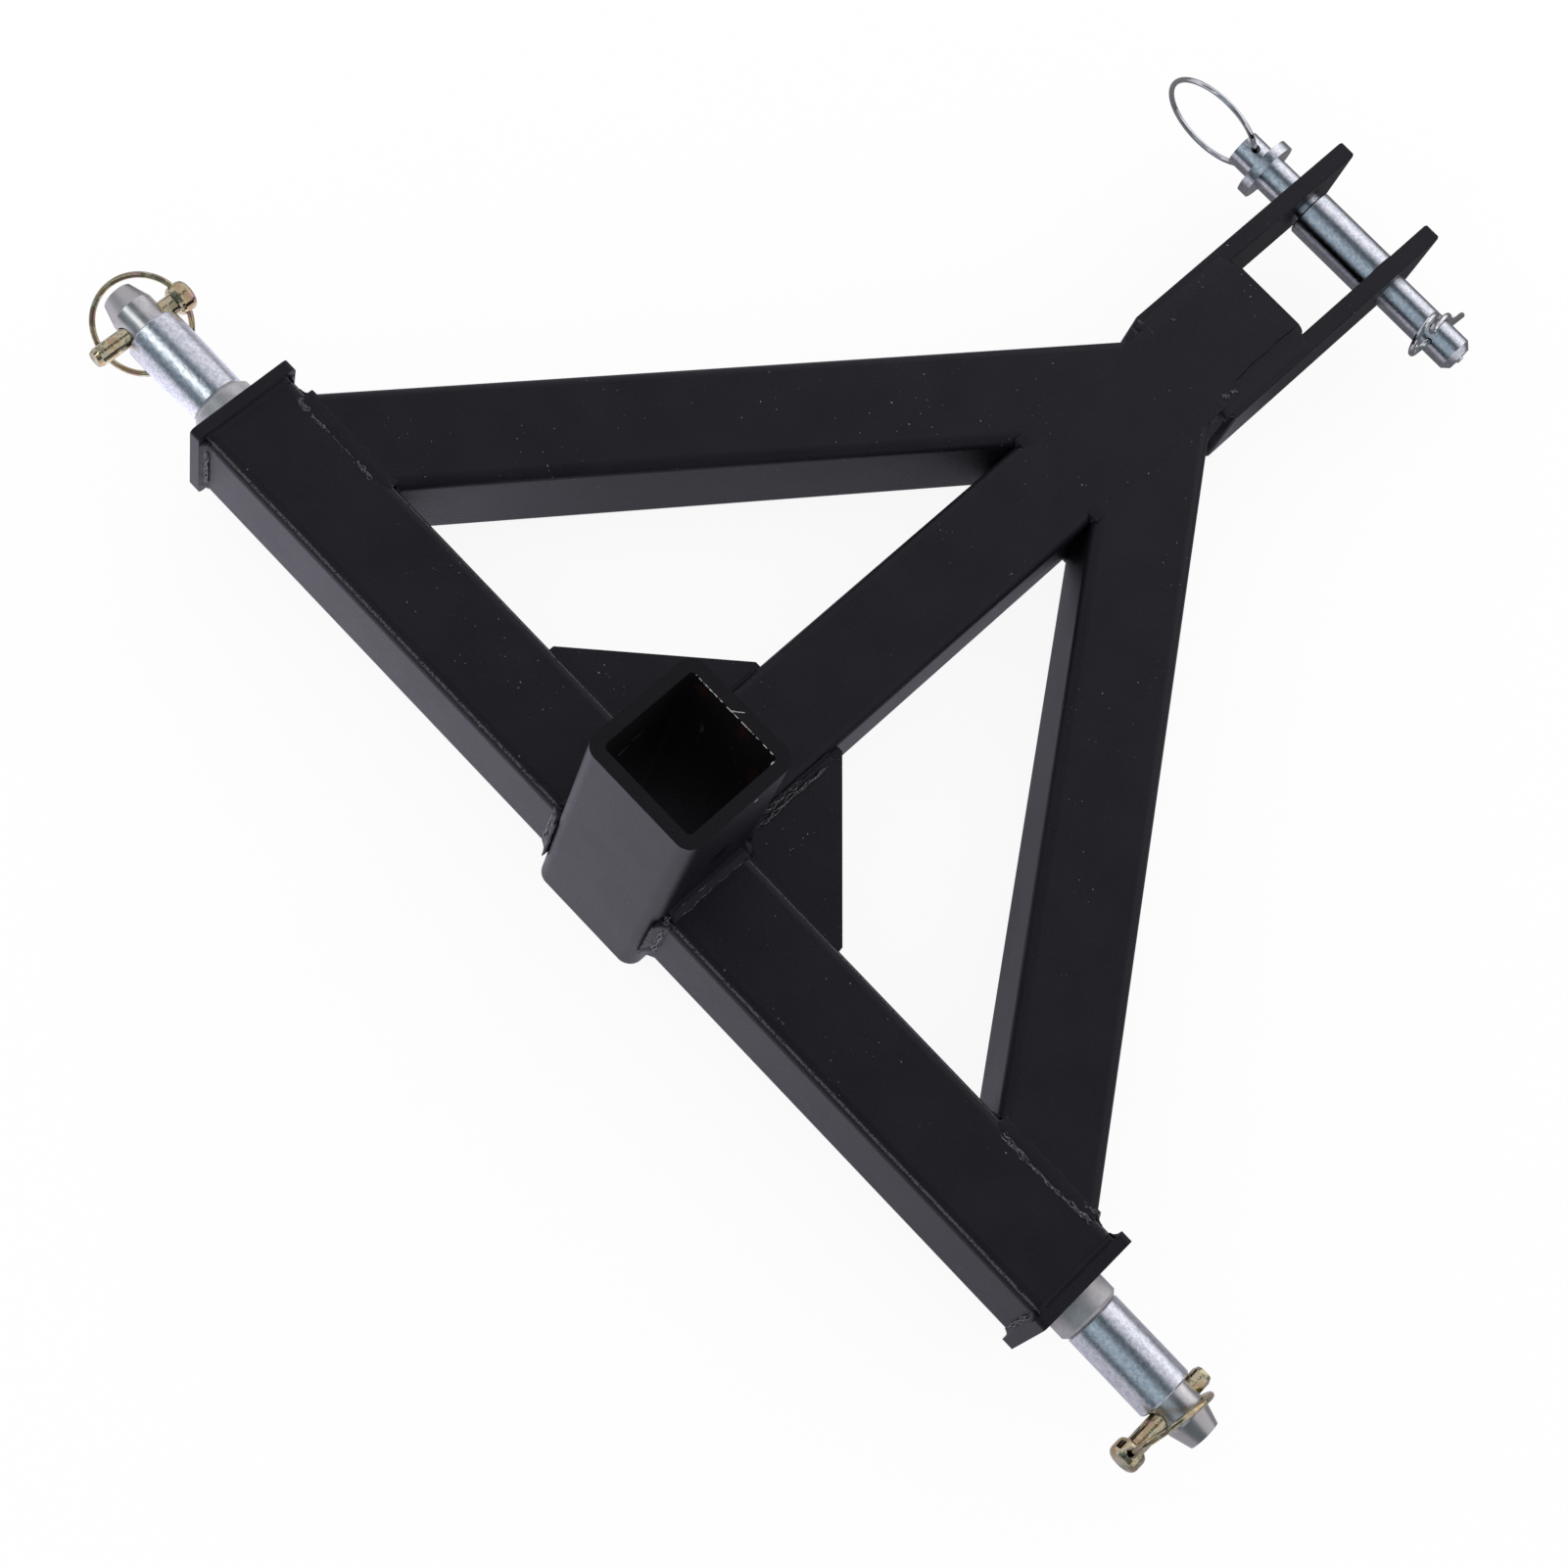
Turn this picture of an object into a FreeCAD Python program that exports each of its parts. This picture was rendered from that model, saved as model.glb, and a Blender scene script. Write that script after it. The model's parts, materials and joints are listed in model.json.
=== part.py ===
import FreeCAD, Part
import math
import os
import Sketcher

os.makedirs("parts", exist_ok=True)
doc = FreeCAD.newDocument("receiver_hitch")

# Driving sizes in millimetres. X runs along the cross tube, Y up the mast and Z along the receiver.
driving = [
    ("tube_side", "50.8", "square stock of the frame"),
    ("tube_wall", "4.8", "wall of the frame stock"),
    ("tube_corner", "5.6", "outer corner radius of the frame stock"),
    ("receiver_side", "63.5", "outside of the receiver"),
    ("receiver_wall", "6.2", "wall of the receiver"),
    ("receiver_corner", "7.5", "outer corner radius of the receiver"),
    ("receiver_bore_corner", "2.5", "inner corner radius of the receiver"),
    ("receiver_front", "127.75", "front rim above the frame's middle plane"),
    ("receiver_back", "41.8", "back end below the frame's middle plane"),
    ("hitch_hole", "16.3", "diameter of the cross hole for the hitch pin"),
    ("hitch_setback", "63.5", "cross hole behind the front rim"),
    ("cap_face", "272.6", "outer face of an end cap from the middle"),
    ("cap_thickness", "6", "end cap plate"),
    ("cap_overhang", "3.1", "cap beyond the tube on each side"),
    ("cap_corner", "3", "corner radius of the cap"),
    ("cap_gap", "0.3", "radial gap of the lower pin in the cap, under the collar"),
    ("mast_short", "70.1", "top end of the mast below the top pin axis"),
    ("brace_inset", "16.4", "outer corner of a brace's foot inside the cap's face"),
    ("brace_top", "355.7", "outer corner of a brace's top"),
    ("ear_thickness", "9.5", "clevis bar thickness"),
    ("ear_depth", "44.5", "clevis bar width"),
    ("ear_step", "7.8", "low end of the clevis bars above the braces"),
    ("ear_beyond", "28", "clevis bars past the top pin axis"),
    ("ear_edge", "0.8", "bevel around the clevis bars"),
    ("top_axis", "495", "top pin axis above the lower pin axis"),
    ("gusset_leg", "68.4", "leg of a gusset"),
    ("gusset_thickness", "6.35", "gusset plate"),
    ("gusset_setback", "6", "gusset face behind the tube face"),
    ("gusset_clear", "0.3", "gap of the notched corner around the receiver"),
    ("gusset_nose", "3", "blunt ends of a gusset"),
    ("lower_pin", "22.2", "lower pin diameter"),
    ("lower_sunk", "25.6", "lower pin inside the cap's face"),
    ("collar_size", "31.75", "collar diameter"),
    ("collar_length", "12.1", "collar length"),
    ("collar_bevel", "1.6", "bevel of the collar's outer edge"),
    ("lower_bush", "28.6", "lower sleeve outside"),
    ("bush_length", "46.2", "lower sleeve length"),
    ("bush_bevel", "0.8", "bevel of the sleeve ends"),
    ("running_gap", "0.08", "radial gap of a running fit"),
    ("end_gap", "0.3", "end gap of a turning sleeve"),
    ("taper_land", "8.1", "linchpin axis to the start of the lower pin's taper"),
    ("taper_length", "10.2", "length of the lower pin's taper"),
    ("lower_tip_size", "16", "end diameter of the taper"),
    ("linch_clear", "0.95", "linchpin shank beyond the sleeve's end"),
    ("linch_size", "9.5", "linchpin shank diameter"),
    ("linch_gap", "0.4", "radial gap of the linchpin in its hole"),
    ("linch_reach", "51", "linchpin from the ring bore to the tip"),
    ("linch_head", "14.8", "linchpin head diameter"),
    ("linch_head_length", "9.6", "linchpin head length"),
    ("linch_head_round", "2.6", "rounding of the linchpin head"),
    ("linch_taper", "2.2", "length of the linchpin's bevelled end"),
    ("linch_point", "7.8", "end diameter of the linchpin"),
    ("linch_left_out", "21.8", "left ring bore from the lower pin axis"),
    ("linch_right_out", "31.4", "right ring bore from the lower pin axis"),
    ("ring_bore", "5", "cross bore of the linchpin head"),
    ("ring_radius", "23.2", "centreline radius of a linchpin ring"),
    ("ring_wire", "3", "wire of a linchpin ring"),
    ("top_pin", "19.05", "top pin diameter"),
    ("top_gap", "0.1", "radial gap of the top pin in the clevis bars"),
    ("stub_length", "13.5", "top pin beyond its flange"),
    ("flange_size", "33", "flange diameter"),
    ("flange_thickness", "5.5", "flange thickness"),
    ("flange_clear", "16.1", "flange face off the left clevis bar"),
    ("pull_inset", "7", "pull ring hole from the pin's end"),
    ("pull_bore", "5", "pull ring hole diameter"),
    ("pull_radius", "27.7", "centreline radius of the pull ring"),
    ("pull_wire", "2.8", "wire of the pull ring"),
    ("top_tail", "16.8", "top pin past the clip hole"),
    ("top_bevel", "3.4", "bevel length of the top pin's tip"),
    ("top_bevel_drop", "3", "bevel depth of the top pin's tip"),
    ("top_bush", "25.4", "top sleeve outside"),
    ("top_bush_slack_left", "3.2", "top sleeve's left end off the clevis bar"),
    ("top_bush_slack_right", "0.6", "top sleeve's right end off the clevis bar"),
    ("clip_set", "33.7", "clip hole off the right clevis bar"),
    ("clip_bore", "3.8", "clip hole diameter"),
    ("clip_wire", "3", "wire of the hairpin clip"),
    ("clip_stand_off", "0.7", "clip's bowed leg above the pin, with room for its tilt"),
    ("clip_leg", "37", "straight leg past the pin axis"),
    ("clip_eye", "11", "centreline radius of the clip's round eye"),
    ("clip_eye_out", "28.5", "middle of the eye from the pin axis"),
    ("clip_waist", "6", "centreline radius of the waist"),
    ("clip_flare", "6", "centreline radius of the flared end"),
    ("clip_flare_out", "13.4", "middle of the flare from the pin axis"),
    ("clip_end", "15.6", "flared end from the pin axis"),
]
# Sizes that follow from the driving ones.
derived = [
    ("tube_half", "=tube_side / 2", "half the frame stock"),
    ("receiver_half", "=receiver_side / 2", "half the receiver"),
    ("mast_top", "=top_axis - mast_short", "top end of the mast"),
    ("ear_low", "=brace_top + ear_step", "low end of the clevis bars"),
    ("ear_high", "=top_axis + ear_beyond", "top end of the clevis bars"),
    ("brace_foot", "=cap_face - brace_inset", "outer corner of a brace's foot"),
    ("brace_run", "=brace_foot - tube_half", "brace outer edge along X"),
    ("brace_rise", "=brace_top - tube_half", "brace outer edge along Y"),
    ("brace_angle", "=atan(brace_rise / brace_run)", "slope of a brace"),
    ("brace_length", "=sqrt(brace_run * brace_run + brace_rise * brace_rise)", "brace outer edge"),
    ("bush_start", "=cap_face + collar_length + end_gap", "inner end of a lower sleeve"),
    ("linch_x", "=bush_start + bush_length + linch_size / 2 + linch_clear", "linchpin axis"),
    ("taper_start", "=linch_x + taper_land", "start of the lower pin's taper"),
    ("lower_tip", "=taper_start + taper_length", "tip of a lower pin"),
    ("ear_face", "=tube_half + ear_thickness", "outer face of a clevis bar"),
    ("flange_near", "=ear_face + flange_clear", "flange face from the middle"),
    ("stub_end", "=flange_near + flange_thickness + stub_length", "pull end of the top pin"),
    ("pull_hole_x", "=stub_end - pull_inset", "pull ring hole from the middle"),
    ("clip_x", "=ear_face + clip_set", "clip hole from the middle"),
    ("top_tip", "=clip_x + top_tail", "tip of the top pin"),
    ("top_bush_left", "=tube_half - top_bush_slack_left", "left end of the top sleeve"),
    ("top_bush_right", "=tube_half - top_bush_slack_right", "right end of the top sleeve"),
    ("clip_hug", "=top_pin / 2 + clip_wire / 2 + clip_stand_off", "centreline radius of the bow"),
    ("ring_bow", "=linch_head * linch_head / (16 * ring_radius)", "half the ring's bow in its bore"),
    ("pull_bow", "=top_pin * top_pin / (16 * pull_radius)", "half the pull ring's bow in its bore"),
]
sheet = doc.addObject("Spreadsheet::Sheet", "Sizes")
for row, (alias, amount, note) in enumerate(driving + derived, start=1):
    sheet.set(f"A{row}", note)
    sheet.set(f"B{row}", amount)
    sheet.setAlias(f"B{row}", alias)
doc.recompute()

turnX = FreeCAD.Vector(1, 0, 0)
turnY = FreeCAD.Vector(0, 1, 0)
turnZ = FreeCAD.Vector(0, 0, 1)
pieces = []


def amount(text):
    found = sheet.evalExpression(text.replace("Sizes.", ""))
    return float(getattr(found, "Value", found))


def newBody(label):
    body = doc.addObject("PartDesign::Body", label)
    body.Label = label
    pieces.append(body)
    return body


def newSketch(body, role, name, away=None):
    sketch = body.newObject("Sketcher::SketchObject", body.Label + "_" + name)
    flat = [f for f in body.Origin.OriginFeatures if f.Role == role][0]
    sketch.AttachmentSupport = (flat, [""])
    sketch.MapMode = "FlatFace"
    if away:
        sketch.setExpression("AttachmentOffset.Base.z", away)
    return sketch


def bind(sketch, kind, items, text):
    index = sketch.addConstraint(Sketcher.Constraint(kind, *items, amount(text)))
    sketch.setExpression(f"Constraints[{index}]", text)


def pin(sketch, item, end, across, along):
    bind(sketch, "DistanceX", (-1, 1, item, end), across)
    bind(sketch, "DistanceY", (-1, 1, item, end), along)


def outline(sketch, corners):
    spots = [FreeCAD.Vector(amount(a), amount(b), 0) for a, b in corners]
    first = sketch.GeometryCount
    count = len(spots)
    for i in range(count):
        sketch.addGeometry(Part.LineSegment(spots[i], spots[(i + 1) % count]))
    for i in range(count):
        after = first + (i + 1) % count
        sketch.addConstraint(Sketcher.Constraint("Coincident", first + i, 2, after, 1))
    for i, (a, b) in enumerate(corners):
        pin(sketch, first + i, 1, a, b)


def rectangle(sketch, low, high, bottom, top):
    outline(sketch, [(low, bottom), (high, bottom), (high, top), (low, top)])


def disc(sketch, across, along, diameter):
    centre = FreeCAD.Vector(amount(across), amount(along), 0)
    index = sketch.addGeometry(Part.Circle(centre, turnZ, amount(diameter) / 2))
    pin(sketch, index, 3, across, along)
    bind(sketch, "Diameter", (index,), diameter)


# Twelve flats stand for the round of a wire.
def wireSection(sketch, wire, shift="0"):
    outline(sketch, [(f"{wire} / 2 * cos({turn} deg) - {shift}", f"{wire} / 2 * sin({turn} deg)")
                     for turn in range(15, 375, 30)])


def pad(body, sketch, length, both=False):
    feature = body.newObject("PartDesign::Pad", sketch.Name + "_pad")
    feature.Profile = sketch
    feature.Midplane = both
    feature.setExpression("Length", length)
    doc.recompute()
    return feature


def cutThrough(body, sketch):
    before = body.Shape.Volume
    feature = body.newObject("PartDesign::Pocket", sketch.Name + "_cut")
    feature.Profile = sketch
    feature.Type = "ThroughAll"
    feature.Midplane = True
    doc.recompute()
    if body.Shape.Volume > before - 1:
        raise RuntimeError(feature.Name + " cuts nothing")
    return feature


def revolve(body, sketch, axis):
    feature = body.newObject("PartDesign::Revolution", sketch.Name + "_turned")
    feature.Profile = sketch
    feature.ReferenceAxis = (sketch, [axis])
    feature.Angle = 360
    doc.recompute()
    return feature


def dress(body, kind, wanted, text):
    base = body.Tip
    names = [f"Edge{i}" for i, edge in enumerate(base.Shape.Edges, start=1) if wanted(edge)]
    if not names:
        raise RuntimeError(body.Label + " has no edge to dress")
    feature = body.newObject("PartDesign::" + kind, f"{body.Label}_{kind.lower()}_{len(body.Group)}")
    feature.Base = (base, names)
    feature.setExpression("Radius" if kind == "Fillet" else "Size", text)
    doc.recompute()


def place(body, x="0", y="0", z="0"):
    for part, text in (("x", x), ("y", y), ("z", z)):
        body.setExpression("Placement.Base." + part, text)


def isLong(edge, across, spot):
    box = edge.BoundBox
    flat = box.YLength < 0.01 and box.ZLength < 0.01
    return flat and abs(abs(box.YMin) - across) < 0.01 and abs(abs(box.ZMin) - spot) < 0.01


def isRound(edge, x, radius):
    round_ = isinstance(edge.Curve, Part.Circle)
    return round_ and abs(edge.BoundBox.Center.x - x) < 0.01 and abs(edge.Curve.Radius - radius) < 0.01


# A square tube along its own X, its side outline given by the four ends of its top and bottom edges.
def squareTube(label, corners, side, wall, corner, bore_corner):
    body = newBody(label)
    side_view = newSketch(body, "XY_Plane", "side")
    outline(side_view, corners)
    pad(body, side_view, side, both=True)
    inside = f"{side} / 2 - {wall}"
    hollow = newSketch(body, "YZ_Plane", "hollow")
    rectangle(hollow, f"-({inside})", inside, f"-({inside})", inside)
    cutThrough(body, hollow)
    outer = amount(side) / 2
    inner = amount(inside)
    dress(body, "Fillet", lambda edge: isLong(edge, outer, outer), corner)
    dress(body, "Fillet", lambda edge: isLong(edge, inner, inner), bore_corner)
    return body


def straightCorners(length, half):
    return [("0", f"-{half}"), (length, f"-{half}"), (length, half), ("0", half)]


# Receiver
tube_half = "Sizes.tube_half"
receiver_length = "(Sizes.receiver_front + Sizes.receiver_back)"
receiver = squareTube("receiver_tube", straightCorners(receiver_length, "Sizes.receiver_half"),
                      "Sizes.receiver_side", "Sizes.receiver_wall", "Sizes.receiver_corner",
                      "Sizes.receiver_bore_corner")
hitch = newSketch(receiver, "XY_Plane", "hitch_hole")
disc(hitch, receiver_length + " - Sizes.hitch_setback", "0", "Sizes.hitch_hole")
cutThrough(receiver, hitch)
receiver.Placement.Rotation = FreeCAD.Rotation(turnY, -90)
place(receiver, z="-Sizes.receiver_back")

# Cross tube halves and mast, butted to the receiver's sides
arm_length = "(Sizes.cap_face - Sizes.cap_thickness - Sizes.receiver_half)"
frame_stock = ("Sizes.tube_side", "Sizes.tube_wall", "Sizes.tube_corner",
               "Sizes.tube_corner - Sizes.tube_wall")
for name, sign, turn in (("right", "", 0), ("left", "-", 180)):
    arm = squareTube("cross_tube_" + name, straightCorners(arm_length, tube_half), *frame_stock)
    arm.Placement.Rotation = FreeCAD.Rotation(turnZ, turn)
    place(arm, x=sign + "Sizes.receiver_half")
mast = squareTube("mast", straightCorners("(Sizes.mast_top - Sizes.receiver_half)", tube_half),
                  *frame_stock)
mast.Placement.Rotation = FreeCAD.Rotation(turnZ, 90)
place(mast, y="Sizes.receiver_half")

# Braces, mitred to the cross tube at the foot and to the mast at the top
for name, sign, flip in (("left", "-", ""), ("right", "", "-")):
    near = "Sizes.tube_side / tan(Sizes.brace_angle)"
    far = "Sizes.brace_length - Sizes.tube_side * tan(Sizes.brace_angle)"
    other = "-" if flip == "" else ""
    mitred = [("0", flip + tube_half), ("Sizes.brace_length", flip + tube_half),
              (far, other + tube_half), (near, other + tube_half)]
    brace = squareTube("brace_" + name, mitred, *frame_stock)
    brace.Placement.Rotation = FreeCAD.Rotation(turnZ, 10)
    slope = "Sizes.brace_angle" if name == "left" else "180 deg - Sizes.brace_angle"
    brace.setExpression("Placement.Rotation.Angle", slope)
    place(brace, x=f"{sign}(Sizes.brace_foot - Sizes.tube_half * sin(Sizes.brace_angle))",
          y="Sizes.tube_half - Sizes.tube_half * cos(Sizes.brace_angle)")

# End caps, clevis bars and gussets
for name in ("left", "right"):
    left = name == "left"
    cap = newBody("end_cap_" + name)
    plate = newSketch(cap, "YZ_Plane", "plate")
    rim = "(Sizes.tube_half + Sizes.cap_overhang)"
    rectangle(plate, "-" + rim, rim, "-" + rim, rim)
    disc(plate, "0", "0", "Sizes.lower_pin + 2 * Sizes.cap_gap")
    pad(cap, plate, "Sizes.cap_thickness")
    edge_at = amount(rim)
    dress(cap, "Fillet", lambda edge: isLong(edge, edge_at, edge_at), "Sizes.cap_corner")
    place(cap, x="-Sizes.cap_face" if left else "Sizes.cap_face - Sizes.cap_thickness")

    ear = newBody("clevis_ear_" + name)
    bar = newSketch(ear, "YZ_Plane", "bar")
    rectangle(bar, "Sizes.ear_low", "Sizes.ear_high", "-Sizes.ear_depth / 2", "Sizes.ear_depth / 2")
    disc(bar, "Sizes.top_axis", "0", "Sizes.top_pin + 2 * Sizes.top_gap")
    pad(ear, bar, "Sizes.ear_thickness")
    dress(ear, "Chamfer", lambda edge: isinstance(edge.Curve, Part.Line)
          and edge.BoundBox.XLength < 0.01, "Sizes.ear_edge")
    place(ear, x="-Sizes.tube_half - Sizes.ear_thickness" if left else tube_half)

    sign = "-" if left else ""
    gusset = newBody("gusset_" + name)
    web = newSketch(gusset, "XY_Plane", "web")
    leg = "(Sizes.tube_half + Sizes.gusset_leg)"
    nose = "(Sizes.tube_half + Sizes.gusset_nose)"
    notch = "(Sizes.receiver_half + Sizes.gusset_clear)"
    corners = [(notch, tube_half), (leg, tube_half), (leg, nose), (nose, leg), (tube_half, leg),
               (tube_half, notch), (notch, notch)]
    outline(web, [(sign + across, along) for across, along in corners])
    pad(gusset, web, "Sizes.gusset_thickness")
    place(gusset, z="Sizes.tube_half - Sizes.gusset_setback - Sizes.gusset_thickness")

# Lower pins with their collars, sleeves and linchpins
for name, turn in (("right", 0), ("left", 180)):
    lower = newBody("lower_pin_" + name)
    half = newSketch(lower, "XY_Plane", "half_section")
    rod = "Sizes.lower_pin / 2"
    collar = "Sizes.collar_size / 2"
    collar_end = "Sizes.cap_face + Sizes.collar_length"
    root = "Sizes.cap_face - Sizes.lower_sunk"
    outline(half, [(root, "0"), (root, rod), ("Sizes.cap_face", rod),
                   ("Sizes.cap_face", collar), (collar_end, collar), (collar_end, rod),
                   ("Sizes.taper_start", rod), ("Sizes.lower_tip", "Sizes.lower_tip_size / 2"),
                   ("Sizes.lower_tip", "0")])
    revolve(lower, half, "H_Axis")
    collar_at = amount(collar_end)
    collar_radius = amount(collar)
    dress(lower, "Chamfer", lambda edge: isRound(edge, collar_at, collar_radius),
          "Sizes.collar_bevel")
    cross = newSketch(lower, "XZ_Plane", "linchpin_hole")
    disc(cross, "Sizes.linch_x", "0", "Sizes.linch_size + 2 * Sizes.linch_gap")
    cutThrough(lower, cross)
    lower.Placement.Rotation = FreeCAD.Rotation(turnZ, turn)


def bush(label, start, length, outside, pin_size):
    body = newBody(label)
    ring = newSketch(body, "YZ_Plane", "end")
    disc(ring, "0", "0", outside)
    disc(ring, "0", "0", f"{pin_size} + 2 * Sizes.running_gap")
    pad(body, ring, length)
    radius = amount(outside) / 2
    dress(body, "Chamfer", lambda edge: isRound(edge, edge.BoundBox.Center.x, radius),
          "Sizes.bush_bevel")
    place(body, x=start)
    return body


bush("lower_sleeve_right", "Sizes.bush_start", "Sizes.bush_length", "Sizes.lower_bush",
     "Sizes.lower_pin")
bush("lower_sleeve_left", "-Sizes.bush_start - Sizes.bush_length", "Sizes.bush_length",
     "Sizes.lower_bush", "Sizes.lower_pin")


# A ring through its own origin, where its wire runs along its own Z, with its middle out along X.
# The bow shares the curve of the wire evenly to both sides of the bore's axis.
def wireRing(label, radius, wire, bow):
    body = newBody(label)
    section = newSketch(body, "XY_Plane", "wire")
    middle = f"{radius} - {bow}"
    ends = (FreeCAD.Vector(amount(middle), -amount(wire), 0),
            FreeCAD.Vector(amount(middle), amount(wire), 0))
    axis = section.addGeometry(Part.LineSegment(*ends), True)
    section.addConstraint(Sketcher.Constraint("Vertical", axis))
    bind(section, "DistanceX", (-1, 1, axis, 1), middle)
    bind(section, "DistanceY", (-1, 1, axis, 1), "-" + wire)
    bind(section, "DistanceY", (-1, 1, axis, 2), wire)
    wireSection(section, wire, bow)
    revolve(body, section, "Axis0")
    return body


# Each linchpin stands at its own angle in its hole, and each ring hangs at its own swing.
sides = (("left", "-", "", FreeCAD.Vector(0, -1, 0), 25, 33.5),
         ("right", "", "-", FreeCAD.Vector(0, 1, 0), 0, 9.6))
for name, xSign, ySign, down, roll, swing in sides:
    linch = newBody("linchpin_" + name)
    half = newSketch(linch, "XY_Plane", "half_section")
    head = "Sizes.linch_head_length / 2"
    shank = "Sizes.linch_size / 2"
    taper_at = "Sizes.linch_reach - Sizes.linch_taper"
    rim = "Sizes.linch_head / 2"
    steps = [(f"Sizes.linch_head_round * (1 - sin({turn} deg))",
              f"{rim} - Sizes.linch_head_round * (1 - cos({turn} deg))") for turn in range(0, 91, 30)]
    outline(half, [("-" + head, "0")]
            + [(f"-{head} + {along}", across) for along, across in reversed(steps)]
            + [(f"{head} - {along}", across) for along, across in steps]
            + [(head, shank), (taper_at, shank), ("Sizes.linch_reach", "Sizes.linch_point / 2"),
               ("Sizes.linch_reach", "0")])
    revolve(linch, half, "H_Axis")
    bore = newSketch(linch, "XY_Plane", "ring_bore")
    disc(bore, "0", "0", "Sizes.ring_bore")
    cutThrough(linch, bore)
    if name == "left":
        bore_axis = FreeCAD.Rotation(turnY, roll).multVec(turnX)
    else:
        bore_axis = turnZ
    linch.Placement.Rotation = FreeCAD.Rotation(down, FreeCAD.Vector(), bore_axis, "XZY")
    spot = {"x": xSign + "Sizes.linch_x", "y": f"{ySign}Sizes.linch_{name}_out"}
    place(linch, **spot)

    ring = wireRing("linchpin_ring_" + name, "Sizes.ring_radius", "Sizes.ring_wire",
                    "Sizes.ring_bow")
    angle = swing if name == "left" else -swing
    outward = FreeCAD.Rotation(bore_axis, angle).multVec(down)
    ring.Placement.Rotation = FreeCAD.Rotation(outward, FreeCAD.Vector(), bore_axis, "XZY")
    place(ring, **spot)

# Top pin with its flange, turned a little about its own axis as it lies in the clevis
top_turn = FreeCAD.Rotation(turnX, 11.3)
top = newBody("top_pin")
half = newSketch(top, "XY_Plane", "half_section")
rod = "Sizes.top_pin / 2"
flange = "Sizes.flange_size / 2"
flange_far = "-Sizes.flange_near - Sizes.flange_thickness"
outline(half, [("-Sizes.stub_end", "0"), ("-Sizes.stub_end", rod), (flange_far, rod),
               (flange_far, flange), ("-Sizes.flange_near", flange), ("-Sizes.flange_near", rod),
               ("Sizes.top_tip - Sizes.top_bevel", rod),
               ("Sizes.top_tip", f"{rod} - Sizes.top_bevel_drop"), ("Sizes.top_tip", "0")])
revolve(top, half, "H_Axis")
pull = newSketch(top, "XY_Plane", "pull_hole")
disc(pull, "-Sizes.pull_hole_x", "0", "Sizes.pull_bore")
cutThrough(top, pull)
clip_roll = FreeCAD.Rotation(turnX, -38)
cross = newSketch(top, "XZ_Plane", "clip_hole")
cross.AttachmentOffset = FreeCAD.Placement(FreeCAD.Vector(), clip_roll)
disc(cross, "Sizes.clip_x", "0", "Sizes.clip_bore")
cutThrough(top, cross)
top.Placement.Rotation = top_turn
place(top, y="Sizes.top_axis")
roller = bush("top_sleeve", "-Sizes.top_bush_left", "Sizes.top_bush_left + Sizes.top_bush_right",
              "Sizes.top_bush", "Sizes.top_pin")
place(roller, x="-Sizes.top_bush_left", y="Sizes.top_axis")

pull_ring = wireRing("pull_ring", "Sizes.pull_radius", "Sizes.pull_wire", "Sizes.pull_bow")
trail = FreeCAD.Rotation(turnZ, 3.2).multVec(FreeCAD.Vector(-1, 0, 0))
pull_ring.Placement.Rotation = top_turn * FreeCAD.Rotation(trail, FreeCAD.Vector(), turnZ, "XZY")
place(pull_ring, x="-Sizes.pull_hole_x", y="Sizes.top_axis")

# Hairpin clip: straight leg through the pin, round eye, waist, bow over the pin, flared end
def arc(centre, radius, low, high):
    return Part.ArcOfCircle(Part.Circle(centre, turnZ, radius), low, high)


clip = newBody("hairpin_clip")
path = newSketch(clip, "YZ_Plane", "path")
hug = amount("Sizes.clip_hug")
eye = amount("Sizes.clip_eye")
waist = amount("Sizes.clip_waist")
flare = amount("Sizes.clip_flare")
eyeAt = FreeCAD.Vector(-amount("Sizes.clip_eye_out"), eye, 0)
span = eyeAt.Length
along = ((hug + waist) ** 2 - (eye + waist) ** 2 + span ** 2) / (2 * span)
lift = math.sqrt((hug + waist) ** 2 - along ** 2)
waistAt = eyeAt * (along / span) + FreeCAD.Vector(eyeAt.y, -eyeAt.x, 0) * (lift / span)
flareX = amount("Sizes.clip_flare_out")
flareAt = FreeCAD.Vector(flareX, math.sqrt((hug + flare) ** 2 - flareX ** 2), 0)
eyeEnd = math.atan2(waistAt.y - eyeAt.y, waistAt.x - eyeAt.x)
waistEnd = math.atan2(-waistAt.y, -waistAt.x)
flareEnd = math.atan2(-flareAt.y, -flareAt.x)
flareTurn = math.acos((amount("Sizes.clip_end") - flareX) / flare)
path.addGeometry(Part.LineSegment(FreeCAD.Vector(amount("Sizes.clip_leg"), 0, 0),
                                  FreeCAD.Vector(eyeAt.x, 0, 0)))
path.addGeometry(arc(eyeAt, eye, eyeEnd, 1.5 * math.pi))
path.addGeometry(arc(waistAt, waist, eyeEnd + math.pi, waistEnd + 2 * math.pi))
path.addGeometry(arc(FreeCAD.Vector(), hug, flareEnd + math.pi, waistEnd + math.pi))
path.addGeometry(arc(flareAt, flare, flareEnd + 2 * math.pi, 2 * math.pi - flareTurn))
for joint in ((0, 2, 1, 2), (1, 1, 2, 1), (2, 2, 3, 2), (3, 1, 4, 1)):
    path.addConstraint(Sketcher.Constraint("Tangent", *joint))
path.addConstraint(Sketcher.Constraint("Coincident", 3, 3, -1, 1))
path.addConstraint(Sketcher.Constraint("PointOnObject", 0, 1, -1))
path.addConstraint(Sketcher.Constraint("Horizontal", 0))
bind(path, "DistanceX", (-1, 1, 0, 1), "Sizes.clip_leg")
bind(path, "DistanceX", (-1, 1, 1, 3), "-Sizes.clip_eye_out")
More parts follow.
